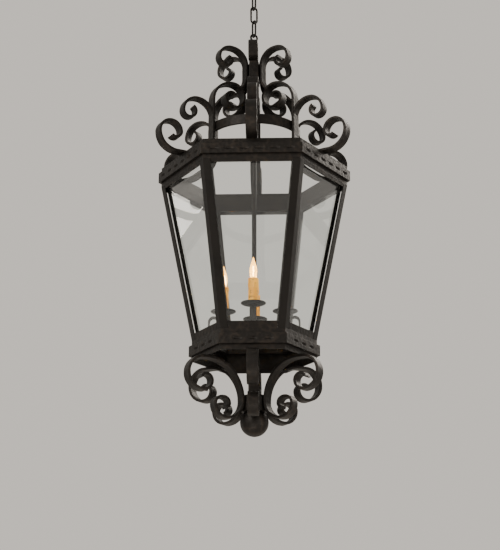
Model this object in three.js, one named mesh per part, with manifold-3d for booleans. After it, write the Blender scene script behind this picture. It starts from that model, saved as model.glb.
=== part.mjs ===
// A six-sided hanging lantern in wrought iron: a ceiling canopy, three chain links, and a tapering glazed
// cage under a crown of scrolls, with four candle lamps inside and a ring of scrolls round a ball finial.
// Millimetres, +Z up. The origin is the middle of the canopy's flat back, where it meets the ceiling.
import * as THREE from "three";
import Module from "manifold-3d";
import { mergeVertices } from "three/addons/utils/BufferGeometryUtils.js";

const wasm = await Module();
wasm.setup();

// Driving sizes. Heights are measured up from the lower edge of the cage's bottom ring.
const gap = 0.3; // between pieces that touch
const sides = 6;
const topRadius = 260; // the cage's corners at the top ring
const bottomRadius = 170; // and at the bottom ring
const ringHeight = 57;
const ringWall = 5;
const cageHeight = 444; // clear height between the two rings
const bandHeight = 29; // the belt riveted round each ring
const bandWall = 7;

const postLeg = 20; // each leg of the corner post's outer angle
const postWall = 3;
const innerLeg = 16; // each leg of its inner angle, behind the glass
const innerSet = 14.5; // the inner angle's depth behind the outer face
const postWeb = 3; // the blocks that tie the two angles at head and foot
const webHeight = 12;
const glassThickness = 3;
const topRail = 8; // strips that cover the glass edges
const bottomRail = 18;
const railSetBack = 0.4;
const railEnd = 1; // between a rail's end and the post's leg
const ledgeThickness = 4; // shelf round the inside of each ring, where the glass stands

const barThickness = 7.5; // of every flat bar but the spider's
const armWidth = 30; // forged flat bar of the crown arms and the lower arms
const scrollWidth = 26; // lighter bar of the scrolls
const curlStep = 20; // degrees of bend in one facet

const crownRingRadius = 130;
const crownRingHeight = 27;
const crownRingLift = 83; // top ring's top edge to the crown ring's lower edge
const archRise = 66; // crown ring's top edge to the start of the arch
const archShare = 0.45; // the arch's radius, of the arms' distance from the stem
const eyeShare = 0.617; // the curl that the arch ends in, of the arch's radius

const hubRadius = 24.5; // where the crown scrolls meet the stem
const hubHeight = 52.65;
const stemRadius = 12.5;
const stemLength = 65; // above the hub
const rodRadius = 6.5;
const rodEnd = 14; // of the rod below the spider's arms

const wire = 6; // chain wire
const linkLength = 55;
const linkWidth = 25;
const loopRadius = 10; // middle of the wire of the two round loops
const chainTurn = 28; // degrees that the loops stand away from the cage's front
const links = 3;

const canopyRadius = 63.5;
const canopyDepth = 24;
const canopyWall = 3;
const canopyBoss = 16;

const candles = 4;
const candleCircle = 84; // radius of the ring of candles
const panHeight = 136; // underside of the drip pans
const panRadius = 34;
const panWall = 2.4;
const panRim = 3.6; // how far the pan's rim stands up
const tubeRadius = 6.75;
const sleeveRadius = 14.2;
const sleeveBore = 11.5;
const sleeveHeight = 70;
const socketPlay = 0.8; // between the socket and the sleeve
const threadPlay = 0.5; // between the bulb's base and the socket
const socketDepth = 26;
const bulbBaseRadius = 6.4;
const bulbRadius = 10.2;
const bulbHeight = 61; // glass above the sleeve
const spiderBar = 5;
const spiderWidth = 18;
const spiderHub = 16;
const spiderHeight = 50; // middle of the spider's arms where they run level

const finialCollar = 35.7; // the drum that the lower arms are welded to
const finialBall = 38.5;
const collarHeight = 43;
const collarRise = 18; // of the drum above the arms' nearest point
const ballDrop = 53; // of the ball's middle below it
const stalkRadius = 8;
const stalkHeight = 14;

// Heights and places that follow from the sizes above.
const cos30 = Math.cos(Math.PI / 6);
const topRingFoot = ringHeight + cageHeight;
const topRingTop = topRingFoot + ringHeight;
const crownRingFoot = topRingTop + crownRingLift;
const crownRingTop = crownRingFoot + crownRingHeight;
const topApothem = topRadius * cos30;
const bottomApothem = bottomRadius * cos30;
const taper = (topRadius - bottomRadius) / cageHeight; // corner radius gained for each millimetre of height
const half = barThickness / 2;

const radians = THREE.MathUtils.degToRad;

// Solids, and boolean work on them.
function toSolid(geometry) {
  const bare = geometry.index ? geometry.toNonIndexed() : geometry.clone();
  bare.deleteAttribute("normal");
  bare.deleteAttribute("uv");
  const merged = mergeVertices(bare, 1e-4);
  return new wasm.Manifold(
    new wasm.Mesh({
      numProp: 3,
      vertProperties: merged.attributes.position.array,
      triVerts: new Uint32Array(merged.index.array),
    }),
  );
}

function toGeometry(solid) {
  const mesh = solid.getMesh();
  const geometry = new THREE.BufferGeometry();
  geometry.setAttribute("position", new THREE.BufferAttribute(mesh.vertProperties, 3));
  geometry.setIndex(new THREE.BufferAttribute(mesh.triVerts, 1));
  return geometry;
}

function join(geometries) {
  const solids = geometries.map(toSolid);
  return toGeometry(solids.slice(1).reduce((sum, next) => sum.add(next), solids[0]));
}

function cut(geometry, tools) {
  const start = toSolid(geometry);
  return toGeometry(tools.map(toSolid).reduce((rest, tool) => rest.subtract(tool), start));
}

// A turned piece: the outline is a list of [radius, height] about the Z axis.
function turned(outline, segments) {
  const profile = outline.map(([radius, height]) => new THREE.Vector2(radius, height));
  return new THREE.LatheGeometry(profile, segments).rotateX(Math.PI / 2);
}

function rod(radius, foot, top, segments = 16) {
  const height = top - foot;
  return new THREE.CylinderGeometry(radius, radius, height, segments)
    .rotateX(Math.PI / 2)
    .translate(0, 0, foot + height / 2);
}

// A six-sided prism with its corners at 0, 60, 120 ... degrees.
function hexagon(radius, foot, height) {
  return new THREE.CylinderGeometry(radius, radius, height, sides, 1, false, Math.PI / 6)
    .rotateX(Math.PI / 2)
    .translate(0, 0, foot + height / 2);
}

// A forged bar's middle line, drawn as a smith bends it: straight runs and round bends one after another.
// A bend is [radius, degrees], positive to the left; a run is [length].
function follow(start, heading, moves) {
  const line = [{ x: start[0], z: start[1], heading }];
  let { x, z } = line[0];
  let angle = heading;
  for (const [size, bend] of moves) {
    if (bend === undefined) {
      x += size * Math.cos(radians(angle));
      z += size * Math.sin(radians(angle));
      line.push({ x, z, heading: angle });
      continue;
    }
    const facets = Math.max(2, Math.round(Math.abs(bend) / curlStep));
    const turn = Math.sign(bend);
    const centreX = x - turn * size * Math.sin(radians(angle));
    const centreZ = z + turn * size * Math.cos(radians(angle));
    for (let facet = 1; facet <= facets; facet++) {
      const now = angle + (bend * facet) / facets;
      x = centreX + turn * size * Math.sin(radians(now));
      z = centreZ - turn * size * Math.cos(radians(now));
      line.push({ x, z, heading: now });
    }
    angle += bend;
  }
  return line;
}

// Two lines that leave one point in opposite directions, as one line.
function joinLines(back, forth) {
  const turnedBack = back.map((point) => ({ ...point, heading: point.heading + 180 })).reverse();
  return [...turnedBack, ...forth.slice(1)];
}

// The bar itself: its thickness lies in the line's plane and its width across it.
function bar(line, width, thickness = barThickness) {
  const side = (sign) =>
    line.map(({ x, z, heading }) => {
      const across = radians(heading + 90 * sign);
      return new THREE.Vector2(x + (thickness / 2) * Math.cos(across), z + (thickness / 2) * Math.sin(across));
    });
  const outline = new THREE.Shape([...side(-1), ...side(1).reverse()]);
  return new THREE.ExtrudeGeometry(outline, { depth: width, bevelEnabled: false, curveSegments: 1 })
    .translate(0, 0, -width / 2)
    .rotateX(Math.PI / 2);
}

// Materials.
const iron = { color: 0x241c16, roughness: 0.62, metalness: 0.85 };
const glass = { color: 0xdfe6e4, roughness: 0.05, metalness: 0, transparent: true, opacity: 0.3 };
const wax = { color: 0xe6b56a, roughness: 0.55, metalness: 0 };
const lit = { color: 0xfff0c8, roughness: 0.2, metalness: 0, emissive: 0xffb24d };
const brass = { color: 0xb08a45, roughness: 0.4, metalness: 0.9 };

function piece(name, geometry, finish) {
  const mesh = new THREE.Mesh(geometry, new THREE.MeshStandardMaterial(finish));
  mesh.name = name;
  return mesh;
}

// One copy for each side of the cage, at a group's own turn, named 1 to 6 from the front.
function aroundCage(group, name, make, finish, firstAzimuth) {
  for (let index = 0; index < sides; index++) {
    const copy = piece(name + "_" + (index + 1), make(), finish);
    copy.rotation.z = radians(firstAzimuth + (360 / sides) * index);
    group.add(copy);
  }
}

const frontFace = 270;
const frontCorner = 240;

// Cage: rings, belts, posts and panes.
function hexRing(radius, foot, height, wall) {
  const inner = hexagon(radius - wall / cos30, foot - 1, height + 2);
  return cut(hexagon(radius, foot, height), [inner]);
}

const apothemAt = (height) => (bottomRadius + taper * (height - ringHeight)) * cos30;

// A flat slab in the plane of one tapering side, set in from its face and cut off square to the corners.
function slab(foot, top, setBack, thickness, fromCorner) {
  const geometry = new THREE.BoxGeometry(1, 1, 1);
  const place = geometry.getAttribute("position");
  for (let index = 0; index < place.count; index++) {
    const height = place.getZ(index) > 0 ? top : foot;
    const out = apothemAt(height) - setBack - (place.getX(index) > 0 ? 0 : thickness);
    const halfWidth = apothemAt(height) * Math.tan(Math.PI / sides) - fromCorner;
    place.setXYZ(index, out, place.getY(index) > 0 ? halfWidth : -halfWidth, height);
  }
  return geometry;
}

// A ring with its shelf, and on each side its rails: [foot, top, set-back, run from the corner].
function cageRing(radius, foot, ledgeFoot, rails) {
  const parts = [
    hexRing(radius, foot, ringHeight, ringWall),
    hexRing(radius, ledgeFoot, ledgeThickness, innerSet + postWall),
  ];
  for (let side = 0; side < sides; side++) {
    for (const [railFoot, railTop, setBack, fromCorner] of rails) {
      const rail = slab(railFoot, railTop, setBack, postWall, fromCorner);
      parts.push(rail.rotateZ(radians(30 + 60 * side)));
    }
  }
  return join(parts);
}

function belt(radius, ringFoot) {
  const inner = radius + gap / cos30;
  return hexRing(inner + bandWall / cos30, ringFoot + (ringHeight - bandHeight) / 2, bandHeight, bandWall);
}

// The corner post: an angle outside the glass and a smaller one inside it, tied by a block at head and foot.
const cornerSine = Math.sin(radians(60));
const innerRun = innerSet / Math.tan(radians(60)); // from the corner to the inner angle, along one side

function angleSection(leg, depth, firstRun) {
  const at = (run, inward) => [-run / 2 - inward * cornerSine, run * cornerSine - inward / 2];
  const half = [at(firstRun + leg, depth), at(firstRun + leg, depth + postWall)];
  const mirrored = half.map(([x, y]) => [x, -y]).reverse();
  return [[-depth / cornerSine, 0], ...half, [-(depth + postWall) / cornerSine, 0], ...mirrored];
}

function prism(outline, foot, height) {
  const section = new THREE.Shape(outline.map(([x, y]) => new THREE.Vector2(x, y)));
  return new THREE.ExtrudeGeometry(section, { depth: height, bevelEnabled: false }).translate(0, 0, foot);
}

function cornerPost() {
  const height = cageHeight - 2 * gap;
  const webFrom = -postWall / 2;
  const webTo = -(innerSet + postWall) / cornerSine + postWall / 2;
  const web = [
    [webFrom, -postWeb / 2],
    [webFrom, postWeb / 2],
    [webTo, postWeb / 2],
    [webTo, -postWeb / 2],
  ];
  const lean = new THREE.Matrix4().makeShear(0, 0, 0, 0, taper, 0);
  return join([
    prism(angleSection(postLeg, 0, 0), 0, height),
    prism(angleSection(innerLeg, innerSet, innerRun), 0, height),
    prism(web, 0, webHeight),
    prism(web, height - webHeight, webHeight),
  ])
    .applyMatrix4(lean)
    .translate(bottomRadius + taper * gap, 0, ringHeight + gap);
}

function pane() {
  const back = innerSet - gap;
  const fromCorner = (postWeb / 2 + gap + back / 2) / cornerSine;
  return slab(ringHeight + gap, topRingFoot - gap, back - glassThickness, glassThickness, fromCorner);
}

const cage = new THREE.Group();
const overlap = 3; // how far a rail runs into its ring
const railTop = ringHeight + bottomRail;
const topRails = [[topRingFoot - topRail, topRingFoot + overlap, railSetBack, postLeg + railEnd]];
const bottomRails = [
  [ringHeight - overlap, railTop, railSetBack, postLeg + railEnd],
  [ringHeight - overlap, railTop, innerSet, innerRun + innerLeg + railEnd],
];
cage.add(
  piece("top_ring", cageRing(topRadius, topRingFoot, topRingFoot, topRails), iron),
  piece("bottom_ring", cageRing(bottomRadius, 0, ringHeight - ledgeThickness, bottomRails), iron),
  piece("top_band", belt(topRadius, topRingFoot), iron),
  piece("bottom_band", belt(bottomRadius, 0), iron),
);
aroundCage(cage, "corner_post", cornerPost, iron, frontCorner);
aroundCage(cage, "glass_pane", pane, glass, frontFace);

// Crown: six arms that stand on the top ring, the round ring that ties them, and six scrolls up to the stem.
const postPlace = crownRingRadius + gap + half;
const archFoot = crownRingTop + archRise;
const archRadius = archShare * postPlace;
const eyeRadius = eyeShare * archRadius;
const eyeCentre = { x: postPlace - archRadius, z: archFoot + archRadius - eyeRadius };

function crownArm() {
  const footHeight = topRingTop + gap + half;
  const slope = 22;
  const kneeRadius = 50;
  const toeRadius = 60;
  const landing = topApothem - 7;
  const kneeReach = kneeRadius * (1 - Math.sin(radians(slope)));
  const toeReach = toeRadius * Math.sin(radians(slope));
  const slopeLength = (landing - postPlace - kneeReach - toeReach) / Math.cos(radians(slope));
  const drop =
    kneeRadius * Math.cos(radians(slope)) +
    slopeLength * Math.sin(radians(slope)) +
    toeRadius * (1 - Math.cos(radians(slope)));
  const down = follow([postPlace, crownRingTop], -90, [
    [crownRingTop - footHeight - drop],
    [kneeRadius, 90 - slope],
    [slopeLength],
    [toeRadius, slope],
    [26],
    [52, 90],
    [34, 90],
    [30, 90],
    [17, 90],
    [14, 50],
  ]);
  const up = follow([postPlace, crownRingTop], 90, [
    [archRise],
    [archRadius, 90],
    [eyeRadius, 90],
    [0.89 * eyeRadius, 90],
    [0.68 * eyeRadius, 90],
    [0.48 * eyeRadius, 90],
    [0.32 * eyeRadius, 80],
  ]);
  const sideScroll = follow([postPlace, crownRingTop + 20], 80, [
    [50, -80],
    [42, -90],
    [18, -90],
    [20, -90],
    [16, -60],
  ]);
  return join([bar(joinLines(down, up), armWidth), bar(sideScroll, scrollWidth)]);
}

// The upper scroll's tail stops square on the arm's eye, and its middle lies along the hub.
const hubFace = hubRadius + gap + half;
const tailHeading = 45;
const tailStop = eyeRadius + half + 2 * gap;
const tailRadius =
  (eyeCentre.x - hubFace - tailStop * Math.cos(radians(tailHeading))) / (1 - Math.sin(radians(tailHeading)));
const tailFoot = eyeCentre.z + tailStop * Math.sin(radians(tailHeading));
const hubFoot = tailFoot + tailRadius * Math.cos(radians(tailHeading));
const hubTop = hubFoot + hubHeight;
const scrollSpring = hubFoot + 35; // where the upper scroll leaves the hub

function crownScroll() {
  const tail = follow([hubFace, scrollSpring], -90, [[scrollSpring - hubFoot], [tailRadius, 90 - tailHeading]]);
  const head = follow([hubFace, scrollSpring], 90, [
    [46, -90],
    [6],
    [34, -90],
    [23, -90],
    [16, -90],
    [11, -90],
  ]);
  return bar(joinLines(tail, head), scrollWidth);
}

// Stem: one turned piece, from the rod that carries the candles up to the cap under the loop.
const stemTop = hubTop + stemLength;
const rodFoot = spiderHeight - spiderBar / 2 - rodEnd;

function stem() {
  return turned(
    [
      [0, rodFoot],
      [rodRadius, rodFoot],
      [rodRadius, hubFoot - 22],
      [hubRadius * 0.55, hubFoot - 12],
      [hubRadius, hubFoot - 4],
      [hubRadius, hubTop - 14],
      [stemRadius + 4, hubTop - 6],
      [stemRadius, hubTop],
      [stemRadius, stemTop - 4],
      [stemRadius - 2, stemTop],
      [0, stemTop],
    ],
    24,
  );
}

const crown = new THREE.Group();
const crownRingOutline = [
  [crownRingRadius - barThickness, crownRingFoot],
  [crownRingRadius, crownRingFoot],
  [crownRingRadius, crownRingTop],
  [crownRingRadius - barThickness, crownRingTop],
  [crownRingRadius - barThickness, crownRingFoot],
];
crown.add(piece("crown_ring", turned(crownRingOutline, 48), iron), piece("stem", stem(), iron));
aroundCage(crown, "crown_arm", crownArm, iron, frontFace);
aroundCage(crown, "crown_scroll", crownScroll, iron, frontFace);

// Chain, from the loop on the stem up to the loop under the canopy. Each hangs in the next, a quarter turn round.
const wireRadius = wire / 2;
const linkSpan = linkLength - wire; // between the middles of a link's two end wires
const nest = wire + gap; // between the middles of two wires that bear on each other
const loopCentre = stemTop + gap + loopRadius + wireRadius;
const firstPivot = loopCentre + loopRadius - nest; // the lowest link's lower end wire
const linkFoot = (index) => firstPivot + (links - index) * (linkSpan - nest);
const upperLoopCentre = linkFoot(1) + linkSpan - nest + loopRadius;
const canopyFoot = upperLoopCentre + loopRadius + wireRadius + gap + 6;
const ceiling = canopyFoot + canopyDepth;

// A round ring drawn out to a link: its upper half is moved up and its lower half down.
function link(foot) {
  const bend = linkWidth / 2 - wireRadius;
  const facets = 20;
  const ring = new THREE.TorusGeometry(bend, wireRadius, 8, facets).rotateZ(Math.PI / facets).rotateX(Math.PI / 2);
  const place = ring.getAttribute("position");
  for (let index = 0; index < place.count; index++) {
    const height = place.getZ(index);
    place.setZ(index, height + Math.sign(height) * (linkSpan / 2 - bend));
  }
  return ring.translate(0, 0, foot + linkSpan / 2);
}

function loop(centre, shankFoot, shankTop) {
  const ring = new THREE.TorusGeometry(loopRadius, wireRadius, 8, 24).rotateX(Math.PI / 2).translate(0, 0, centre);
  return join([ring, rod(stemRadius - 4, shankFoot, shankTop)]);
}

const lantern = new THREE.Group();
const loopBottom = loopCentre - loopRadius;
const stemLoop = piece("stem_loop", loop(loopCentre, stemTop + gap, loopBottom), iron);
stemLoop.rotation.z = radians(chainTurn);
lantern.add(cage, crown, stemLoop);

const hanging = new THREE.Group();
for (let index = 1; index <= links; index++) {
  const made = piece("chain_link_" + index, link(linkFoot(index)), iron);
  made.rotation.z = radians(chainTurn + ((links - index) % 2 === 0 ? 90 : 0));
  hanging.add(made);
}
const canopyLoop = piece(
  "canopy_loop",
  loop(upperLoopCentre, upperLoopCentre + loopRadius, canopyFoot - gap),
  iron,
);
canopyLoop.rotation.z = radians(chainTurn + (links % 2 === 0 ? 90 : 0));
hanging.add(canopyLoop);

function canopy() {
  const lip = canopyRadius - canopyWall;
  const roof = canopyFoot + canopyWall;
  return turned(
    [
      [0, canopyFoot],
      [canopyBoss, canopyFoot],
      [canopyRadius * 0.62, canopyFoot + 4],
      [canopyRadius * 0.9, canopyFoot + 12],
      [canopyRadius, ceiling - 5],
      [canopyRadius, ceiling],
      [lip, ceiling],
      [lip, ceiling - 5],
      [lip * 0.9, canopyFoot + 12 + canopyWall],
      [lip * 0.62, roof + 4],
      [canopyBoss, roof + 1],
      [canopyBoss, ceiling],
      [0, ceiling],
    ],
    40,
  );
}
hanging.add(piece("ceiling_canopy", canopy(), iron));

// Candles: a spider on the rod, and on each arm a drip pan, a socket, a sleeve and a flame bulb.
const cupTop = panHeight + panWall;

function spiderArm() {
  const start = spiderHub - 3;
  const level = candleCircle - start - 52;
  const line = follow([start, spiderHeight + 30], -60, [
    [60, 60],
    [level],
    [38, 90],
    [22],
    [13, 90],
    [11, 90],
  ]);
  const tube = rod(tubeRadius, spiderHeight, panHeight - gap).translate(candleCircle, 0, 0);
  return [bar(line, spiderWidth, spiderBar), tube];
}

function spider() {
  const foot = spiderHeight + 4;
  const hubLength = 44;
  const hub = rod(spiderHub, foot, foot + hubLength, 24);
  const arms = [];
  for (let index = 0; index < candles; index++) {
    for (const part of spiderArm()) arms.push(part.rotateZ(radians((360 / candles) * index)));
  }
  const bore = rod(rodRadius + gap, 0, foot + 2 * hubLength);
  return cut(join([hub, ...arms]), [bore]);
}

const fitting = {
  drip_pan: () =>
    turned(
      [
        [0, panHeight],
        [panRadius * 0.72, panHeight],
        [panRadius, panHeight + panRim],
        [panRadius - 1, panHeight + panRim + panWall],
        [panRadius * 0.7, cupTop],
        [0, cupTop],
      ],
      24,
    ),
  lamp_socket: () => {
    const foot = cupTop + gap;
    const top = cupTop + sleeveHeight - 4;
    return turned(
      [
        [0, foot],
        [sleeveBore - socketPlay, foot],
        [sleeveBore - socketPlay, top],
        [bulbBaseRadius + threadPlay, top],
        [bulbBaseRadius + threadPlay, top - socketDepth],
        [0, top - socketDepth],
      ],
      16,
    );
  },
  candle_sleeve: () => {
    const foot = cupTop + gap;
    return turned(
      [
        [sleeveBore, foot],
        [sleeveRadius, foot],
        [sleeveRadius, foot + sleeveHeight],
        [sleeveBore, foot + sleeveHeight],
        [sleeveBore, foot],
      ],
      16,
    );
  },
  bulb: () => {
    const rim = cupTop + gap + sleeveHeight;
    const foot = rim - socketDepth + 2;
    const widest = rim + bulbHeight * 0.33;
    return turned(
      [
        [0, foot],
        [bulbBaseRadius, foot + 1],
        [bulbBaseRadius, rim],
        [bulbBaseRadius + 2, rim + 3],
        [bulbRadius * 0.88, widest - 9],
        [bulbRadius, widest],
        [bulbRadius * 0.86, widest + 12],
        [bulbRadius * 0.5, widest + 26],
        [bulbRadius * 0.2, rim + bulbHeight - 5],
        [0, rim + bulbHeight],
      ],
      16,
    );
  },
};
const fittingFinish = { drip_pan: iron, lamp_socket: brass, candle_sleeve: wax, bulb: lit };
const candleNames = ["right", "back", "left", "front"];
const lamps = new THREE.Group();
lamps.add(piece("candle_spider", spider(), iron));
candleNames.forEach((place, index) => {
  const azimuth = radians((360 / candles) * index);
  for (const name of Object.keys(fitting)) {
    const made = piece(name + "_" + place, fitting[name](), fittingFinish[name]);
    made.position.set(candleCircle * Math.cos(azimuth), candleCircle * Math.sin(azimuth), 0);
    lamps.add(made);
  }
});

// Foot: six arms sweep in under the bottom ring to the finial's collar and curl out again beside its ball.
const armRoot = bottomApothem - ringWall;
const collarFace = finialCollar + gap + half;
const armTop = -gap - half;
const sweep = (armRoot - collarFace - 2) / (Math.sin(radians(50)) + 1.26 * (1 - Math.sin(radians(50))));
const nearest = armTop - sweep * (1 - Math.cos(radians(50)) + 1.26 * Math.cos(radians(50)));

function lowerArm() {
  const main = follow([armRoot, armTop], 180, [
    [2],
    [sweep, 50],
    [1.26 * sweep, 40],
    [48, 90],
    [35, 90],
    [20, 90],
    [5],
    [17, 90],
    [11, 75],
  ]);
  const outer = follow([armRoot - 6, armTop], 0, [
    [20],
    [45, -90],
    [44, -90],
    [25, -90],
    [18, -90],
    [13, -80],
  ]);
  return join([bar(main, armWidth), bar(outer, armWidth)]);
}

const ballCentre = nearest - ballDrop;

function finial() {
  const collarTop = nearest + collarRise;
  const collarFoot = collarTop - collarHeight;
  const neck = Math.sqrt(finialBall ** 2 - (collarFoot - ballCentre) ** 2);
  const outline = [
    [finialCollar, collarFoot],
    [finialCollar, collarTop],
    [stalkRadius + 5, collarTop + 2],
    [stalkRadius, collarTop + stalkHeight - 2],
    [0, collarTop + stalkHeight],
  ];
  const ball = [];
  const facets = 12;
  const neckAngle = Math.asin(neck / finialBall);
  for (let facet = 0; facet <= facets; facet++) {
    const angle = Math.PI - ((Math.PI - neckAngle) * facet) / facets;
    ball.push([finialBall * Math.sin(angle), ballCentre + finialBall * Math.cos(angle)]);
  }
  ball[0][0] = 0;
  return turned([...ball, ...outline], 24);
}

const foot = new THREE.Group();
aroundCage(foot, "lower_arm", lowerArm, iron, frontFace);
foot.add(piece("finial", finial(), iron));
lantern.add(lamps, foot);

const root = new THREE.Group();
root.add(lantern, hanging);
root.position.z = -ceiling;

export default root;
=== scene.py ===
import math

import bmesh
import bpy
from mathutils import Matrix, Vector


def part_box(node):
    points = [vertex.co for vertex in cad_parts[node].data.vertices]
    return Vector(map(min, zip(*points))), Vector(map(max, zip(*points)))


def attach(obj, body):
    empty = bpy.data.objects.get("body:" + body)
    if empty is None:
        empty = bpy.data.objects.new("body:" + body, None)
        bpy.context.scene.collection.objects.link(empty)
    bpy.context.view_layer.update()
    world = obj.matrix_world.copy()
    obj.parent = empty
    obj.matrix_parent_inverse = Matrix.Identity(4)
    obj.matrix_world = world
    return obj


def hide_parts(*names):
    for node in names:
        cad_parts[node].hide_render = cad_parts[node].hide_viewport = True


# A hanging lantern in hammered wrought iron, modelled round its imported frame.
# Values in the dictionaries are millimetres and degrees, heights from the cage's lower edge.
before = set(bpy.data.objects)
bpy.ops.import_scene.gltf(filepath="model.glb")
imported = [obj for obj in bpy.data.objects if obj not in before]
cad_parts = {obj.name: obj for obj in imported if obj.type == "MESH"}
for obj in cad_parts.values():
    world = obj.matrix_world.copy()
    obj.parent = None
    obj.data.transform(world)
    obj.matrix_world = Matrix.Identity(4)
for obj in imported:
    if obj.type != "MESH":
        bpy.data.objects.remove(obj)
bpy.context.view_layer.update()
mm = 0.001
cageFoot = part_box("bottom_ring")[0].z
print("frame loaded,", len(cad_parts), "nodes")


def level(height):
    return cageFoot + height * mm


def clearSelection():
    if bpy.context.object and bpy.context.object.mode != "OBJECT":
        bpy.ops.object.mode_set(mode="OBJECT")
    bpy.ops.object.select_all(action="DESELECT")


def pick(piece):
    clearSelection()
    piece.select_set(True)
    bpy.context.view_layer.objects.active = piece
    return piece


def editing():
    bpy.ops.object.mode_set(mode="EDIT")
    bpy.ops.mesh.select_all(action="SELECT")


def pickEdges(test):
    # the edges whose two ends pass the test
    bpy.ops.mesh.select_mode(type="EDGE")
    bpy.ops.mesh.select_all(action="DESELECT")
    shape = bmesh.from_edit_mesh(bpy.context.object.data)
    for edge in shape.edges:
        edge.select_set(bool(test(edge.verts[0].co, edge.verts[1].co)))
    bmesh.update_edit_mesh(bpy.context.object.data)


def pickPoints(test):
    bpy.ops.mesh.select_mode(type="VERT")
    bpy.ops.mesh.select_all(action="DESELECT")
    shape = bmesh.from_edit_mesh(bpy.context.object.data)
    for point in shape.verts:
        point.select_set(bool(test(point.co)))
    shape.select_flush(True)
    bmesh.update_edit_mesh(bpy.context.object.data)


def closeUp():
    # doubles merged and every face turned outwards
    bpy.ops.mesh.select_mode(type="VERT")
    bpy.ops.mesh.select_all(action="SELECT")
    bpy.ops.mesh.remove_doubles(threshold=0.00001)
    bpy.ops.mesh.normals_make_consistent(inside=False)
    bpy.ops.object.mode_set(mode="OBJECT")


def modify(piece, kind, **settings):
    pick(piece)
    modifier = piece.modifiers.new(kind.lower(), kind)
    for key, value in settings.items():
        setattr(modifier, key, value)
    bpy.ops.object.modifier_apply(modifier=modifier.name)


def soften(piece, width, segments=2, angle=30):
    modify(piece, "BEVEL", width=width * mm, segments=segments, limit_method="ANGLE",
           angle_limit=math.radians(angle), harden_normals=False, use_clamp_overlap=True)


def smooth(piece, angle=35):
    pick(piece)
    bpy.ops.object.shade_smooth_by_angle(angle=math.radians(angle))
    modify(piece, "WEIGHTED_NORMAL", keep_sharp=True, weight=80)


def place(piece, name, body, slot, material, *nodes):
    piece.name = name
    piece.data.name = name
    piece.data.materials.clear()
    piece.data.materials.append(material)
    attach(piece, body)
    if nodes:
        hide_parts(*nodes)
    return piece


def newFinish(name):
    finish = bpy.data.materials.new(name)
    finish.use_nodes = True
    return finish, finish.node_tree.nodes, finish.node_tree.links, finish.node_tree.nodes["Principled BSDF"]


def ownPlace(nodes, links, scale=(1, 1, 1)):
    where = nodes.new("ShaderNodeTexCoord")
    mapping = nodes.new("ShaderNodeMapping")
    mapping.inputs["Scale"].default_value = scale
    links.new(where.outputs["Object"], mapping.inputs["Vector"])
    return mapping.outputs["Vector"]


def noise(nodes, links, vector, scale, detail=4, roughness=0.55):
    made = nodes.new("ShaderNodeTexNoise")
    made.inputs["Scale"].default_value = scale
    made.inputs["Detail"].default_value = detail
    made.inputs["Roughness"].default_value = roughness
    links.new(vector, made.inputs["Vector"])
    return made.outputs["Fac"]


def ramp(nodes, links, value, stops):
    made = nodes.new("ShaderNodeValToRGB")
    band = made.color_ramp
    band.elements[0].position, band.elements[0].color = stops[0][0], (*stops[0][1], 1)
    band.elements[1].position, band.elements[1].color = stops[-1][0], (*stops[-1][1], 1)
    for position, colour in stops[1:-1]:
        band.elements.new(position).color = (*colour, 1)
    links.new(value, made.inputs["Fac"])
    return made.outputs["Color"]


def bump(nodes, links, height, strength, distance, below=None):
    made = nodes.new("ShaderNodeBump")
    made.inputs["Strength"].default_value = strength
    made.inputs["Distance"].default_value = distance * mm
    links.new(height, made.inputs["Height"])
    if below is not None:
        links.new(below, made.inputs["Normal"])
    return made.outputs["Normal"]


ironLook = {
    "pits": (0.0050, 0.0043, 0.0037),
    "body": (0.0082, 0.0067, 0.0055),
    "worn": (0.0165, 0.0125, 0.0095),
    "metal": 0.6,
    "shine": 0.3,
    "blowsPerMetre": 88,
    "blowDepth": 0.9,
    "scalePerMetre": 620,
    "scaleDepth": 0.22,
    "smoothest": 0.36,
    "roughest": 0.68,
}


def makeIron(name, look, blows=1.0):
    finish, nodes, links, shader = newFinish(name)
    here = ownPlace(nodes, links)
    patches = noise(nodes, links, here, 16, 5)
    blow = nodes.new("ShaderNodeTexVoronoi")
    blow.feature = "SMOOTH_F1"
    blow.inputs["Scale"].default_value = look["blowsPerMetre"]
    blow.inputs["Smoothness"].default_value = 0.35
    links.new(here, blow.inputs["Vector"])
    grit = noise(nodes, links, here, look["scalePerMetre"], 6, 0.65)

    # the rims between hammer blows are rubbed brighter than the hollows
    wear = nodes.new("ShaderNodeMath")
    wear.operation = "MULTIPLY_ADD"
    links.new(blow.outputs["Distance"], wear.inputs[0])
    wear.inputs[1].default_value = 0.55 * blows
    links.new(patches, wear.inputs[2])
    colour = ramp(nodes, links, wear.outputs[0],
                  [(0.38, look["pits"]), (0.62, look["body"]), (0.80, look["body"]), (1.0, look["worn"])])
    links.new(colour, shader.inputs["Base Color"])
    low, high = look["smoothest"], look["roughest"]
    gloss = ramp(nodes, links, grit, [(0.30, (low,) * 3), (0.72, (high,) * 3)])
    links.new(gloss, shader.inputs["Roughness"])
    hammered = bump(nodes, links, blow.outputs["Distance"], 0.75 * blows, look["blowDepth"])
    links.new(bump(nodes, links, grit, 0.35, look["scaleDepth"], hammered), shader.inputs["Normal"])
    shader.inputs["Metallic"].default_value = look["metal"]
    shader.inputs["Specular IOR Level"].default_value = look["shine"]
    return finish


glassLook = {"tint": (0.965, 0.985, 0.975), "index": 1.5, "roughness": 0.015}


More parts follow.
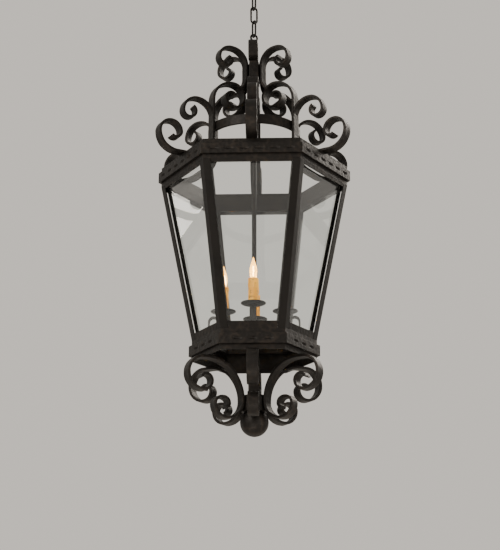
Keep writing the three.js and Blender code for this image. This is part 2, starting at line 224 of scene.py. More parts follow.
def makeGlass(name, look):
    finish, nodes, links, shader = newFinish(name)
    shader.inputs["Base Color"].default_value = (*look["tint"], 1)
    shader.inputs["Roughness"].default_value = look["roughness"]
    shader.inputs["IOR"].default_value = look["index"]
    shader.inputs["Transmission Weight"].default_value = 1.0
    # faint waves of drawn glass
    waves = noise(nodes, links, ownPlace(nodes, links, (1, 1, 0.4)), 7, 2)
    links.new(bump(nodes, links, waves, 0.05, 0.3), shader.inputs["Normal"])
    # lamps shine straight through
    path = nodes.new("ShaderNodeLightPath")
    clear = nodes.new("ShaderNodeBsdfTransparent")
    clear.inputs["Color"].default_value = (*look["tint"], 1)
    choose = nodes.new("ShaderNodeMixShader")
    links.new(path.outputs["Is Shadow Ray"], choose.inputs["Fac"])
    links.new(shader.outputs["BSDF"], choose.inputs[1])
    links.new(clear.outputs["BSDF"], choose.inputs[2])
    links.new(choose.outputs["Shader"], nodes["Material Output"].inputs["Surface"])
    return finish


waxAndPaintedGlowLook = {
    "pale": (0.78, 0.39, 0.02),
    "deep": (0.50, 0.20, 0.006),
    "speck": (0.085, 0.035, 0.010),
    "specksPerMetre": 135,
    # painted glow: a faint warm emission given to the wax itself, standing in for the bulb light that shines
    # into the sleeve
    "glow": (1.0, 0.40, 0.01),
    "glowStrength": 0.35,
    "shine": 0.2,
}


def makeWaxWithPaintedGlow(name, look):
    finish, nodes, links, shader = newFinish(name)
    here = ownPlace(nodes, links)
    cloudy = noise(nodes, links, here, 45, 5)
    body = ramp(nodes, links, cloudy, [(0.34, look["deep"]), (0.66, look["pale"])])
    soot = nodes.new("ShaderNodeTexVoronoi")
    soot.inputs["Scale"].default_value = look["specksPerMetre"]
    links.new(here, soot.inputs["Vector"])
    specks = ramp(nodes, links, soot.outputs["Distance"], [(0.27, (1, 1, 1)), (0.34, (0, 0, 0))])
    thin = ramp(nodes, links, noise(nodes, links, here, 60, 2), [(0.40, (0, 0, 0)), (0.46, (1, 1, 1))])
    both = nodes.new("ShaderNodeMix")
    both.data_type = "RGBA"
    both.blend_type = "MULTIPLY"
    both.inputs["Factor"].default_value = 1
    links.new(specks, both.inputs[6])
    links.new(thin, both.inputs[7])
    mixed = nodes.new("ShaderNodeMix")
    mixed.data_type = "RGBA"
    links.new(both.outputs[2], mixed.inputs["Factor"])
    links.new(body, mixed.inputs[6])
    mixed.inputs[7].default_value = (*look["speck"], 1)
    links.new(mixed.outputs[2], shader.inputs["Base Color"])
    shader.inputs["Roughness"].default_value = 0.42
    shader.inputs["Specular IOR Level"].default_value = look["shine"]
    shader.inputs["Subsurface Weight"].default_value = 0.12
    shader.inputs["Subsurface Radius"].default_value = (0.006, 0.003, 0.001)
    shader.inputs["Subsurface Scale"].default_value = 0.6
    # painted glow: the wax gives off a faint warm light of its own, standing in for bulb light on the sleeve,
    # which is no lamp
    shader.inputs["Emission Color"].default_value = (*look["glow"], 1)
    shader.inputs["Emission Strength"].default_value = look["glowStrength"]
    links.new(bump(nodes, links, cloudy, 0.3, 0.5), shader.inputs["Normal"])
    return finish


bulbLook = {
    "glass": (1.0, 0.84, 0.56),
    "glow": (1.0, 0.45, 0.04),
    "glowStrength": 2.4,
    "filament": (1.0, 0.74, 0.36),
    "filamentStrength": 320,
}


def makeBulbGlass(name, look):
    finish, nodes, links, shader = newFinish(name)
    shader.inputs["Base Color"].default_value = (*look["glass"], 1)
    shader.inputs["Transmission Weight"].default_value = 0.85
    shader.inputs["IOR"].default_value = 1.35
    shader.inputs["Emission Color"].default_value = (*look["glow"], 1)
    shader.inputs["Emission Strength"].default_value = look["glowStrength"]
    frost = noise(nodes, links, ownPlace(nodes, links), 160, 3)
    links.new(ramp(nodes, links, frost, [(0.3, (0.16,) * 3), (0.7, (0.34,) * 3)]),
              shader.inputs["Roughness"])
    return finish


def makeFilament(name, look):
    finish, nodes, links, shader = newFinish(name)
    shader.inputs["Base Color"].default_value = (1, 0.8, 0.5, 1)
    shader.inputs["Roughness"].default_value = 0.5
    shader.inputs["Emission Color"].default_value = (*look["filament"], 1)
    shader.inputs["Emission Strength"].default_value = look["filamentStrength"]
    return finish


def makeBrass(name):
    finish, nodes, links, shader = newFinish(name)
    here = ownPlace(nodes, links, (1, 1, 6))
    tarnish = noise(nodes, links, here, 70, 5)
    links.new(ramp(nodes, links, tarnish, [(0.35, (0.36, 0.22, 0.07)), (0.7, (0.68, 0.48, 0.19))]),
              shader.inputs["Base Color"])
    links.new(ramp(nodes, links, tarnish, [(0.3, (0.28,) * 3), (0.7, (0.5,) * 3)]),
              shader.inputs["Roughness"])
    shader.inputs["Metallic"].default_value = 0.95
    return finish


hammeredIron = makeIron("hammeredIron", ironLook)
plainIron = makeIron("plainIron", ironLook, 0.45)
clearGlass = makeGlass("clearGlass", glassLook)
# the wax finish carries a painted glow, a faint emission standing in for bulb light on the sleeves
candleWaxPaintedGlow = makeWaxWithPaintedGlow("candleWaxPaintedGlow", waxAndPaintedGlowLook)
bulbGlass = makeBulbGlass("bulbGlass", bulbLook)
filamentGlow = makeFilament("filamentGlow", bulbLook)
socketBrass = makeBrass("socketBrass")
print("finishes mixed")


forge = {
    "thickness": 7.5,
    "armWidth": 30,
    "scrollWidth": 26,
    "cornerRound": 1.5,
    "acrossCuts": 5,
    "stepLength": 5.5,
    "blowSize": 13,
    "blowDepth": 0.55,
}
sinks = bpy.data.textures.new("hammerBlows", "VORONOI")
sinks.noise_scale = forge["blowSize"] * mm
sinks.distance_metric = "DISTANCE_SQUARED"


def walk(x, z, heading, moves):
    # where a smith's list of runs [length] and bends [radius, degrees] ends; left bends are positive
    for size, *bend in moves:
        if not bend:
            x += size * math.cos(math.radians(heading))
            z += size * math.sin(math.radians(heading))
            continue
        turn = math.copysign(1, bend[0])
        after = heading + bend[0]
        x += turn * size * (math.sin(math.radians(after)) - math.sin(math.radians(heading)))
        z -= turn * size * (math.cos(math.radians(after)) - math.cos(math.radians(heading)))
        heading = after
    return x, z, heading


def retraced(x, z, heading, moves):
    # the same bar worked from its far end
    x, z, heading = walk(x, z, heading, moves)
    back = [[size] + [-angle for angle in bend] for size, *bend in reversed(moves)]
    return x, z, heading + 180, back


def forgeBar(x, z, heading, moves, width, thickness=None):
    thickness = thickness or forge["thickness"]
    clearSelection()
    bpy.ops.mesh.primitive_plane_add(size=1, location=(x * mm, 0, level(z)),
                                     rotation=(0, math.radians(90 - heading), 0))
    bar = bpy.context.object
    bar.scale = (thickness * mm, width * mm, 1)
    bpy.ops.object.transform_apply(location=True, rotation=True, scale=True)
    editing()
    pickEdges(lambda a, b: abs(a.y - b.y) > width * mm / 2)
    bpy.ops.mesh.subdivide(number_cuts=forge["acrossCuts"])
    pickPoints(lambda p: abs(abs(p.y) - width * mm / 2) < 1e-6)
    bpy.ops.mesh.bevel(offset=forge["cornerRound"] * mm, segments=3, affect="VERTICES")
    bpy.ops.mesh.select_mode(type="FACE")
    bpy.ops.mesh.select_all(action="SELECT")
    for size, *bend in moves:
        if not bend:
            steps = max(1, round(size / forge["stepLength"]))
            along = Vector((math.cos(math.radians(heading)), 0, math.sin(math.radians(heading))))
            for _ in range(steps):
                bpy.ops.mesh.extrude_region_move(
                    TRANSFORM_OT_translate={"value": along * (size * mm / steps)})
            x, z, heading = walk(x, z, heading, [[size]])
            continue
        turn = math.copysign(1, bend[0])
        centreX = x - turn * size * math.sin(math.radians(heading))
        centreZ = z + turn * size * math.cos(math.radians(heading))
        steps = max(5, round(abs(math.radians(bend[0])) * size / forge["stepLength"]))
        bpy.ops.mesh.spin(steps=steps, angle=math.radians(abs(bend[0])), axis=(0, turn, 0),
                          center=(centreX * mm, 0, level(centreZ)))
        x, z, heading = walk(x, z, heading, [[size, bend[0]]])
    closeUp()
    smooth(bar)
    return bar


def hammer(bar, depth=None):
    modify(bar, "DISPLACE", texture=sinks, strength=(depth or forge["blowDepth"]) * mm,
           mid_level=0.35, texture_coords="LOCAL")
    smooth(bar, 40)


def standAround(pattern, count, firstAzimuth, label, body, slot, material, nodes):
    made = []
    for index in range(count):
        pick(pattern)
        bpy.ops.object.duplicate()
        copy = bpy.context.object
        copy.rotation_euler.z = math.radians(firstAzimuth + 360 / count * index)
        bpy.ops.object.transform_apply(rotation=True)
        made.append(place(copy, f"{label}{index + 1}", body, slot, material, *nodes(index)))
    pick(pattern)
    bpy.ops.object.delete()
    return made


def joined(*parts):
    clearSelection()
    for part in parts:
        part.select_set(True)
    bpy.context.view_layer.objects.active = parts[0]
    bpy.ops.object.join()
    return bpy.context.object


crownArm = {
    "post": 134.05,
    "ringTop": 668,
    "down": [[42.95], [50, 68], [32.76], [60, 22], [26], [52, 90], [34, 90], [30, 90], [17, 90], [14, 50]],
    "up": [[66], [60.32, 90], [37.22, 90], [33.12, 90], [25.31, 90], [17.87, 90], [11.91, 80]],
    "scrollFoot": 688,
    "scroll": [[50, -80], [42, -90], [18, -90], [20, -90], [16, -60]],
}


def makeCrownArm(size):
    back = retraced(size["post"], size["ringTop"], -90, size["down"])
    main = forgeBar(back[0], back[1], back[2], back[3] + size["up"], forge["armWidth"])
    scroll = forgeBar(size["post"], size["scrollFoot"], 80, size["scroll"], forge["scrollWidth"])
    arm = joined(main, scroll)
    hammer(arm)
    return arm


standAround(makeCrownArm(crownArm), 6, 270, "crownArm", "lantern", "wrought_iron", hammeredIron,
            lambda index: [f"crown_arm_{index + 1}"])
print("crown arms forged")


crownScroll = {
    "hubFace": 28.55,
    "spring": 859.6,
    "tail": [[35], [53.89, 45]],
    "head": [[46, -90], [6], [34, -90], [23, -90], [16, -90], [11, -90]],
}


def makeCrownScroll(size):
    back = retraced(size["hubFace"], size["spring"], -90, size["tail"])
    scroll = forgeBar(back[0], back[1], back[2], back[3] + size["head"], forge["scrollWidth"])
    hammer(scroll)
    return scroll


standAround(makeCrownScroll(crownScroll), 6, 270, "crownScroll", "lantern", "wrought_iron", hammeredIron,
            lambda index: [f"crown_scroll_{index + 1}"])
print("crown scrolls forged")


lowerArm = {
    "root": 142.22,
    "top": -4.05,
    "main": [[2], [94.71, 50], [119.34, 40], [48, 90], [35, 90], [20, 90], [5], [17, 90], [11, 75]],
    "outer": [[20], [45, -90], [44, -90], [25, -90], [18, -90], [13, -80]],
}


def makeLowerArm(size):
    main = forgeBar(size["root"], size["top"], 180, size["main"], forge["armWidth"])
    outer = forgeBar(size["root"] - 6, size["top"], 0, size["outer"], forge["armWidth"])
    arm = joined(main, outer)
    hammer(arm)
    return arm


standAround(makeLowerArm(lowerArm), 6, 270, "lowerArm", "lantern", "wrought_iron", hammeredIron,
            lambda index: [f"lower_arm_{index + 1}"])
print("lower arms forged")


cage = {
    "edgeRound": 0.9,
    "postRound": 0.6,
    "glassRound": 0.5,
    "bandWall": 7,
    "bandSpread": 2.8,
    "bandRows": 16,
    "bandRound": 1.2,
    "dentSpacing": 41,
    "dentLength": 12,
    "dentHeight": 4,
    "dentDepth": 3,
}


def eased(node, width, flat=False):
    # a copy of the node's own shape with its edges rounded
    clearSelection()
    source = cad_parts[node]
    copy = bpy.data.objects.new(node + "Eased", source.data.copy())
    bpy.context.scene.collection.objects.link(copy)
    pick(copy)
    editing()
    bpy.ops.mesh.remove_doubles(threshold=0.000005)
    bpy.ops.mesh.dissolve_limited(angle_limit=math.radians(1))
    bpy.ops.object.mode_set(mode="OBJECT")
    soften(copy, width)
    if flat:
        bpy.ops.object.shade_flat()
    else:
        smooth(copy)
    return copy


def makeBand(node, size):
    low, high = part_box(node)
    radius = high.x
    clearSelection()
    bpy.ops.mesh.primitive_cylinder_add(vertices=6, radius=radius, depth=high.z - low.z,
                                        end_fill_type="NOTHING", location=(0, 0, (low.z + high.z) / 2),
                                        rotation=(0, 0, math.radians(30)))
    band = bpy.context.object
    bpy.ops.object.transform_apply(location=True, rotation=True, scale=True)
    editing()
    pickEdges(lambda a, b: abs(a.z - b.z) < 1e-6)
    bpy.ops.mesh.subdivide(number_cuts=round(radius / (size["bandSpread"] * mm)))
    pickEdges(lambda a, b: abs(a.z - b.z) > 1e-3)
    bpy.ops.mesh.subdivide(number_cuts=size["bandRows"])
    bpy.ops.object.mode_set(mode="OBJECT")
    modify(band, "SOLIDIFY", thickness=size["bandWall"] * mm, offset=-1, use_even_offset=True)
    # oval dents along the middle of each side
    perSide = max(3, round(radius / (size["dentSpacing"] * mm)) - 1)
    middle = (low.z + high.z) / 2
    face = radius * math.cos(math.radians(30)) - 3 * mm
    editing()
    for grow, depth in ((1.0, 0.35), (0.8, 0.35), (0.6, 0.3)):

        def inDent(point):
            for side in range(6):
                azimuth = math.radians(30 + 60 * side)
                out = Vector((math.cos(azimuth), math.sin(azimuth), 0))
                if point.dot(out) < face:
                    continue
                along = point.dot(Vector((-out.y, out.x, 0)))
                for index in range(perSide):
                    run = (index - (perSide - 1) / 2) * size["dentSpacing"] * mm
                    u = (along - run) / (size["dentLength"] * mm * grow)
                    v = (point.z - middle) / (size["dentHeight"] * mm * grow)
                    if u * u + v * v < 1:
                        return True
            return False

        pickPoints(inDent)
        bpy.ops.transform.shrink_fatten(value=-size["dentDepth"] * depth * mm)
    bpy.ops.object.mode_set(mode="OBJECT")
    soften(band, size["bandRound"], 3, 60)
    modify(band, "DISPLACE", texture=sinks, strength=0.35 * mm, mid_level=0.35, texture_coords="LOCAL")
    smooth(band, 40)
    return band


for node, label in (("top_ring", "topRing"), ("bottom_ring", "bottomRing")):
    place(eased(node, cage["edgeRound"]), label, "lantern", "wrought_iron", hammeredIron, node)
for node, label in (("top_band", "topBand"), ("bottom_band", "bottomBand")):
    place(makeBand(node, cage), label, "lantern", "wrought_iron", hammeredIron, node)
for index in range(1, 7):
    place(eased(f"corner_post_{index}", cage["postRound"]), f"cornerPost{index}",
          "lantern", "wrought_iron", plainIron, f"corner_post_{index}")
    place(eased(f"glass_pane_{index}", cage["glassRound"], True), f"glassPane{index}",
          "lantern", "clear_glass", clearGlass, f"glass_pane_{index}")
print("cage fitted")


def turnPiece(outline, segments=48, at=(0, 0)):
    # a disc drawn up, widened and narrowed along the outline of (radius, height)
    clearSelection()
    radius, height = outline[0]
    bpy.ops.mesh.primitive_circle_add(vertices=segments, radius=max(radius, 0.2) * mm, fill_type="NGON",
                                      location=(at[0] * mm, at[1] * mm, level(height)))
    piece = bpy.context.object
    bpy.ops.object.transform_apply(location=True, rotation=True, scale=True)
    editing()
    bpy.ops.mesh.select_mode(type="FACE")
    for nextRadius, nextHeight in outline[1:]:
        bpy.ops.mesh.extrude_region_move(
            TRANSFORM_OT_translate={"value": (0, 0, (nextHeight - height) * mm)})
        share = max(nextRadius, 0.2) / max(radius, 0.2)
        bpy.ops.transform.resize(value=(share, share, 1),
                                 center_override=(at[0] * mm, at[1] * mm, level(nextHeight)))
        radius, height = nextRadius, nextHeight
    closeUp()
    return piece


crownRing = {"radius": 130, "wall": 7.5, "foot": 641, "top": 668}
stem = {
    "rod": 6.5,
    "hub": 24.5,
    "pipe": 12.5,
    "foot": 33.5,
    "hubFoot": 824.6,
    "hubTop": 877.25,
    "top": 942.25,
}


def makeCrownRing(size):
    clearSelection()
    bpy.ops.mesh.primitive_cylinder_add(vertices=120, radius=size["radius"] * mm,
                                        depth=(size["top"] - size["foot"]) * mm, end_fill_type="NOTHING",
                                        location=(0, 0, level((size["top"] + size["foot"]) / 2)))
    ring = bpy.context.object
    bpy.ops.object.transform_apply(location=True, rotation=True, scale=True)
    editing()
    pickEdges(lambda a, b: abs(a.z - b.z) > 1e-3)
    bpy.ops.mesh.subdivide(number_cuts=4)
    bpy.ops.object.mode_set(mode="OBJECT")
    modify(ring, "SOLIDIFY", thickness=size["wall"] * mm, offset=-1)
    soften(ring, 1.3, 3, 50)
    hammer(ring, 0.4)
    return ring


def makeStem(size):
    hub, pipe = size["hub"], size["pipe"]
    outline = [(size["rod"] - 0.8, size["foot"]), (size["rod"], size["foot"] + 1)]
    rise = size["hubFoot"] - 22 - size["foot"]
    outline += [(size["rod"], size["foot"] + rise * step / 40) for step in range(1, 41)]
    outline += [(hub * 0.55, size["hubFoot"] - 12), (hub, size["hubFoot"] - 4)]
    outline += [(hub, size["hubFoot"] + step * 9) for step in range(1, 5)]
    outline += [(hub, size["hubTop"] - 14), (pipe + 4, size["hubTop"] - 6), (pipe, size["hubTop"])]
    outline += [(pipe, size["hubTop"] + step * 12) for step in range(1, 5)]
    outline += [(pipe, size["top"] - 4), (pipe - 2, size["top"])]
    piece = turnPiece(outline, 40)
    soften(piece, 1.6, 3, 18)
    modify(piece, "DISPLACE", texture=sinks, strength=0.3 * mm, mid_level=0.5, texture_coords="LOCAL")
    smooth(piece, 40)
    return piece


place(makeCrownRing(crownRing), "crownRing", "lantern", "wrought_iron", hammeredIron, "crown_ring")
place(makeStem(stem), "stem", "lantern", "wrought_iron", hammeredIron, "stem")

finial = {
    "collar": 35.7,
    "ball": 38.5,
    "collarFoot": -139.59,
    "collarTop": -96.59,
    "ballAt": -167.59,
    "stalk": 8,
}


def makeFinial(size):
    ball, collar, stalk = size["ball"], size["collar"], size["stalk"]
    foot, top = size["collarFoot"], size["collarTop"]
    steps = 28
    last = math.acos((foot - size["ballAt"]) / ball)
    outline = []
    for step in range(steps + 1):
        angle = math.pi - (math.pi - last) * step / steps
        outline.append((max(ball * math.sin(angle), 0.2), size["ballAt"] + ball * math.cos(angle)))
    outline += [(collar, foot + (top - foot) * step / 5) for step in range(6)]
    outline += [(stalk + 5, top + 2), (stalk, top + 12), (stalk - 1, top + 14)]
    piece = turnPiece(outline, 56)
    soften(piece, 1.5, 3, 32)
    modify(piece, "DISPLACE", texture=sinks, strength=0.45 * mm, mid_level=0.5, texture_coords="LOCAL")
    smooth(piece, 40)
    return piece


place(makeFinial(finial), "finial", "lantern", "wrought_iron", hammeredIron, "finial")
print("stem, ring and finial turned")


chain = {
    "wire": 2.85,
    "bend": 9.5,
    "span": 49,
    "loop": 10,
    "eyeReach": 13,  # a loop's middle to its outer edge
    "shank": 8.5,
    "turn": 28,
}


def bendRing(radius, wire, centre, stretch, azimuth):
    clearSelection()
    bpy.ops.mesh.primitive_torus_add(major_segments=64, minor_segments=18, major_radius=radius * mm,
                                     minor_radius=wire * mm, location=(0, 0, centre),
                                     rotation=(math.radians(90), 0, math.radians(azimuth)))
    ring = bpy.context.object
    bpy.ops.object.transform_apply(location=True, rotation=True, scale=True)
    if stretch:
        editing()
        for sign in (1, -1):
            pickPoints(lambda p: (p.z - centre) * sign > 1e-5)
            bpy.ops.transform.translate(value=(0, 0, sign * stretch * mm))
        # more rows in the straight sides
        pickEdges(lambda a, b: abs(a.z - b.z) > stretch * mm * 0.9)
        bpy.ops.mesh.subdivide(number_cuts=4)
        closeUp()
    return ring


for index, body in ((1, "link_1"), (2, "link_2"), (3, "link_3")):
    low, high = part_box(f"chain_link_{index}")
    azimuth = chain["turn"] + (90 if index % 2 else 0)
    stretch = chain["span"] / 2 - chain["bend"]
    link = bendRing(chain["bend"], chain["wire"], (low.z + high.z) / 2, stretch, azimuth)
    modify(link, "DISPLACE", texture=sinks, strength=0.2 * mm, mid_level=1.0, texture_coords="LOCAL")
    smooth(link, 60)
    place(link, f"chainLink{index}", body, "wrought_iron", plainIron, f"chain_link_{index}")

for node, body in (("stem_loop", "lantern"), ("canopy_loop", "ceiling")):
    low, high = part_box(node)
    upward = node == "stem_loop"
    centre = high.z - chain["eyeReach"] * mm if upward else low.z + chain["eyeReach"] * mm
    ring = bendRing(chain["loop"], chain["wire"], centre, 0, chain["turn"])
    middle = (centre - cageFoot) / mm
    ends = [(low.z - cageFoot) / mm, middle - chain["loop"]] if upward else [middle + chain["loop"],
                                                                            (high.z - cageFoot) / mm]
    shank = turnPiece([(chain["shank"] - 0.8, ends[0]), (chain["shank"], ends[0] + 0.8),
                       (chain["shank"], ends[1] - 0.8), (chain["shank"] - 0.8, ends[1])], 32)
    modify(ring, "BOOLEAN", operation="UNION", object=shank, solver="EXACT")
    bpy.data.objects.remove(shank)
    smooth(ring, 40)
    place(ring, "stemLoop" if upward else "canopyLoop", body, "wrought_iron", plainIron, node)

canopy = {"radius": 63.5, "wall": 3, "boss": 16, "foot": 1116.65, "ceiling": 1140.65}


def makeCanopy(size):
    radius, wall, foot, ceiling = size["radius"], size["wall"], size["foot"], size["ceiling"]
    lip, roof = radius - wall, foot + wall
    outline = [(0.4, foot), (size["boss"], foot), (radius * 0.62, foot + 4),
               (radius * 0.78, foot + 7.2), (radius * 0.9, foot + 12), (radius * 0.965, foot + 15.5),
               (radius, ceiling - 5), (radius, ceiling), (lip, ceiling), (lip, ceiling - 5),
               (lip * 0.965, foot + 15.5 + wall * 0.7),
               (lip * 0.9, foot + 12 + wall), (lip * 0.62, roof + 4), (size["boss"], roof + 1),
               (size["boss"], ceiling), (0.4, ceiling)]
    piece = turnPiece(outline, 72)
    soften(piece, 0.9, 2, 20)
    smooth(piece, 40)
    return piece


place(makeCanopy(canopy), "ceilingCanopy", "ceiling", "wrought_iron", plainIron, "ceiling_canopy")
print("chain and canopy hung")


candles = {
    "circle": 84,
    "barWidth": 18,
    "barThickness": 5,
    "hub": 16,
    "armHeight": 50,
    "tube": 6.75,
    "pan": 34,
    "panFoot": 136,
    "panWall": 2.4,
    "panRim": 3.6,
    "sleeve": 14.2,
    "sleeveBore": 11.5,
    "sleeveHeight": 70,
    "bulb": 10.2,
    "bulbBase": 6.4,
    "bulbHeight": 61,
    "socketDepth": 26,
    "gap": 0.3,  # a sleeve's foot above its pan
}
names = ["right", "back", "left", "front"]
panTop = candles["panFoot"] + candles["panWall"]


def makeSpider(size):
    start = size["hub"] - 3
    straight = size["circle"] - start - 52
    moves = [[60, 60], [straight], [38, 90], [22], [13, 90], [11, 90]]
    parts = []
    for index in range(4):
        arm = forgeBar(start, size["armHeight"] + 30, -60, moves, size["barWidth"], size["barThickness"])
        cup = turnPiece([(size["tube"], size["armHeight"]), (size["tube"], size["armHeight"] + 40),
                         (size["tube"], size["panFoot"] - 6), (size["tube"] + 2.4, size["panFoot"] - 4),
                         (size["tube"] + 2.4, size["panFoot"] - 0.4)], 28, (size["circle"], 0))
        arm = joined(arm, cup)
        arm.rotation_euler.z = math.radians(90 * index)
        pick(arm)
        bpy.ops.object.transform_apply(rotation=True)
        parts.append(arm)
    foot = size["armHeight"] + 4
    hub = turnPiece([(size["hub"] - 1.5, foot), (size["hub"], foot + 2), (size["hub"], foot + 14),
                     (size["hub"] + 2, foot + 17), (size["hub"] + 2, foot + 22), (size["hub"], foot + 25),
                     (size["hub"], foot + 42), (size["hub"] - 1.5, foot + 44)], 36)
    spider = joined(hub, *parts)
    hammer(spider, 0.35)
    return spider


def makePan(size):
    pan, foot, rim = size["pan"], size["panFoot"], size["panRim"]
    outline = [(0.4, foot), (pan * 0.5, foot), (pan * 0.72, foot + 0.1), (pan * 0.88, foot + 1.5),
               (pan, foot + rim), (pan - 0.3, foot + rim + 1.6), (pan - 1.4, foot + rim + size["panWall"]),
               (pan * 0.86, foot + rim + 0.4), (pan * 0.7, panTop), (pan * 0.5, panTop), (0.4, panTop)]
    piece = turnPiece(outline, 64, (size["circle"], 0))
    soften(piece, 0.5, 2, 25)
    smooth(piece, 45)
    return piece


drips = [  # azimuth, top below the rim, length, thickness
    (10, 0, 26, 2.3), (48, 0, 12, 2.0), (95, 0, 38, 2.5), (131, 0, 17, 1.9),
    (170, 0, 9, 2.2), (214, 0, 31, 2.4), (251, 0, 14, 1.9), (292, 0, 21, 2.2), (330, 0, 44, 2.3),
]


def makeSleeve(size):
    foot = panTop + size["gap"]
    top = foot + size["sleeveHeight"]
    wax, bore = size["sleeve"], size["sleeveBore"]
    outline = [(wax - 0.6, foot), (wax, foot + 1), (wax - 0.4, foot + 30), (wax - 0.2, top - 8),
               (wax, top - 1), (wax - 0.7, top), (bore + 0.3, top - 0.8), (bore, top - 3),
               (bore, foot + 5), (bore, foot + 0.6)]
    # the disc is pushed up inside the tube and taken off again, which leaves both ends open
    tube = turnPiece(outline, 48)
    editing()
    bpy.ops.mesh.select_mode(type="FACE")
    bpy.ops.mesh.select_all(action="DESELECT")
    shape = bmesh.from_edit_mesh(tube.data)
    for face in shape.faces:
        face.select_set(len(face.verts) > 6)
    bmesh.update_edit_mesh(tube.data)
    bpy.ops.mesh.delete(type="FACE")
    bpy.ops.mesh.select_mode(type="EDGE")
    bpy.ops.mesh.select_non_manifold()
    bpy.ops.mesh.bridge_edge_loops()
    closeUp()
    parts = [tube]
    for azimuth, below, length, thick in drips:
        angle = math.radians(azimuth)
        out = wax - thick * 0.42
        where = (out * mm * math.cos(angle), out * mm * math.sin(angle))
        head = level(top - below - 1.6)
        clearSelection()
        bpy.ops.mesh.primitive_uv_sphere_add(segments=14, ring_count=10, radius=thick * mm,
                                             location=(*where, head - length * mm))
        drop = bpy.context.object
        editing()
        pickPoints(lambda p: p.z > 1e-5)
        bpy.ops.transform.translate(value=(0, 0, length * mm))
        bpy.ops.transform.resize(value=(0.62, 0.62, 1), center_override=(*where, head))
        bpy.ops.object.mode_set(mode="OBJECT")
        bpy.ops.object.transform_apply(location=True)
        parts.append(drop)
    sleeve = joined(*parts)
    modify(sleeve, "REMESH", mode="VOXEL", voxel_size=0.0008)
    modify(sleeve, "SMOOTH", factor=0.5, iterations=3)
    pick(sleeve)
    bpy.ops.transform.translate(value=(size["circle"] * mm, 0, 0))
    bpy.ops.object.transform_apply(location=True)
    bpy.ops.object.shade_smooth()
    return sleeve


def makeBulb(size):
    rim = panTop + size["gap"] + size["sleeveHeight"]
    wide = rim + size["bulbHeight"] * 0.33
    base, bulb = size["bulbBase"], size["bulb"]
    foot = rim - size["socketDepth"] + 2
    outline = [(base - 1.4, foot), (base, foot + 1.5), (base, rim - 3), (base, rim), (base + 2, rim + 3),
               (base + 2.7, wide - 11), (bulb * 0.96, wide - 5), (bulb, wide), (bulb * 0.965, wide + 6),
               (bulb * 0.86, wide + 12), (bulb * 0.69, wide + 19), (bulb * 0.49, wide + 26),
               (bulb * 0.31, wide + 32), (bulb * 0.17, rim + size["bulbHeight"] - 3.4),
               (bulb * 0.06, rim + size["bulbHeight"] - 0.6)]
    piece = turnPiece(outline, 24, (size["circle"], 0))
    modify(piece, "SUBSURF", levels=2, render_levels=2)
    pick(piece)
    bpy.ops.object.shade_smooth()
    return piece


def makeFilamentWire(size):
    rim = panTop + size["gap"] + size["sleeveHeight"]
    clearSelection()
    bpy.ops.curve.primitive_nurbs_path_add()
    wire = bpy.context.object
    spline = wire.data.splines[0]
    spline.points.add(11)
    for index, point in enumerate(spline.points):
        share = index / 15
        turn = math.pi * share
        spread = 4.2 * math.cos(turn)
        point.co = ((size["circle"] + spread) * mm, 1.1 * mm * math.sin(8 * turn),
                    level(rim + 8 + 26 * math.sin(turn)), 1)
    wire.data.bevel_depth = 0.75 * mm
    wire.data.bevel_resolution = 3
    wire.data.use_fill_caps = True
    bpy.ops.object.convert(target="MESH")
    bpy.ops.object.transform_apply(location=True, rotation=True, scale=True)
    bpy.ops.object.shade_smooth()
    return bpy.context.object


place(makeSpider(candles), "candleSpider", "lantern", "wrought_iron", plainIron, "candle_spider")
standAround(makePan(candles), 4, 0, "dripPan", "lantern", "wrought_iron", plainIron,
            lambda index: [f"drip_pan_{names[index]}"])
standAround(makeSleeve(candles), 4, 0, "candleSleeve", "lantern", "candle_wax", candleWaxPaintedGlow,
            lambda index: [f"candle_sleeve_{names[index]}"])
for index, where in enumerate(names):
    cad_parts[f"lamp_socket_{where}"].data.materials.clear()
    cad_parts[f"lamp_socket_{where}"].data.materials.append(socketBrass)
    for make, label, material in ((makeBulb, "bulb", bulbGlass),
                                  (makeFilamentWire, "filament", filamentGlow)):
        piece = make(candles)
        piece.rotation_euler.z = math.radians(90 * index)
        pick(piece)
        bpy.ops.object.transform_apply(rotation=True)
        place(piece, f"{label}{where.capitalize()}", f"bulb_{where}", "bulb_glass", material,
              *([f"bulb_{where}"] if label == "bulb" else []))
print("candles set")


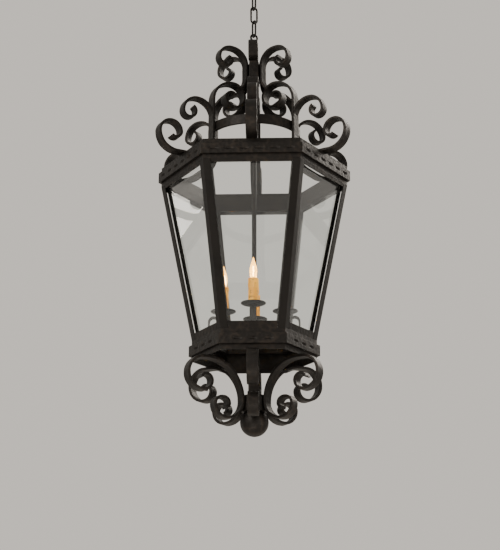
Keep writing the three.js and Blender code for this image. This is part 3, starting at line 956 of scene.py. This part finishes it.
studio = {
    "floor": -3.45,
    "floorSize": 40,
    "pale": (0.80, 0.775, 0.74),
    "sky": (0.83, 0.78, 0.71),
    "skyStrength": 0.9,
}
lamps = [  # place, width, watts, colour
    ((-2.4, -3.0, 0.6), 2.4, 150, (1.0, 0.96, 0.90)),
    ((2.8, -2.2, -1.6), 2.6, 70, (1.0, 0.95, 0.88)),
    ((2.3, 2.6, 1.3), 2.2, 130, (1.0, 0.93, 0.84)),
    ((-0.4, -1.8, -3.0), 2.0, 40, (1.0, 0.94, 0.86)),
]
clearSelection()
bpy.ops.mesh.primitive_plane_add(size=studio["floorSize"], location=(0, 0, studio["floor"]))
floor = bpy.context.object
floor.name = "studioFloor"
floorPaint, nodes, links, shader = newFinish("floorPaint")
mottle = noise(nodes, links, ownPlace(nodes, links), 0.8, 3)
links.new(ramp(nodes, links, mottle, [(0.2, tuple(c * 0.97 for c in studio["pale"])), (0.8, studio["pale"])]),
          shader.inputs["Base Color"])
shader.inputs["Roughness"].default_value = 0.8
floor.data.materials.append(floorPaint)

sky = bpy.data.worlds.new("paleSky")
sky.use_nodes = True
bpy.context.scene.world = sky
sky.node_tree.nodes["Background"].inputs["Color"].default_value = (*studio["sky"], 1)
sky.node_tree.nodes["Background"].inputs["Strength"].default_value = studio["skyStrength"]

middle = Vector((0, 0, -0.72))
for index, (where, width, watts, colour) in enumerate(lamps):
    clearSelection()
    bpy.ops.object.light_add(type="AREA", location=where)
    lamp = bpy.context.object
    lamp.name = f"softLamp{index + 1}"
    lamp.rotation_euler = (middle - Vector(where)).to_track_quat("-Z", "Y").to_euler()
    lamp.data.size = width
    lamp.data.energy = watts
    lamp.data.color = colour
    lamp.visible_transmission = False  # not seen through the panes

# seen from the room, 4 m off and nearly a metre below the cage
eye = {"distance": 4.0113, "below": 0.9401, "round": 0.0285, "tilt": 0.287, "pan": 0.0314, "lens": 99.6}
bpy.ops.object.camera_add(
    location=(eye["distance"] * math.sin(eye["round"]), -eye["distance"] * math.cos(eye["round"]),
              cageFoot - eye["below"]),
    rotation=(math.pi / 2 + eye["tilt"], 0, eye["pan"]))
camera = bpy.context.object
camera.data.lens = eye["lens"]
camera.data.sensor_width = 36
camera.data.clip_end = 100
bpy.context.scene.camera = camera
print("studio lit")
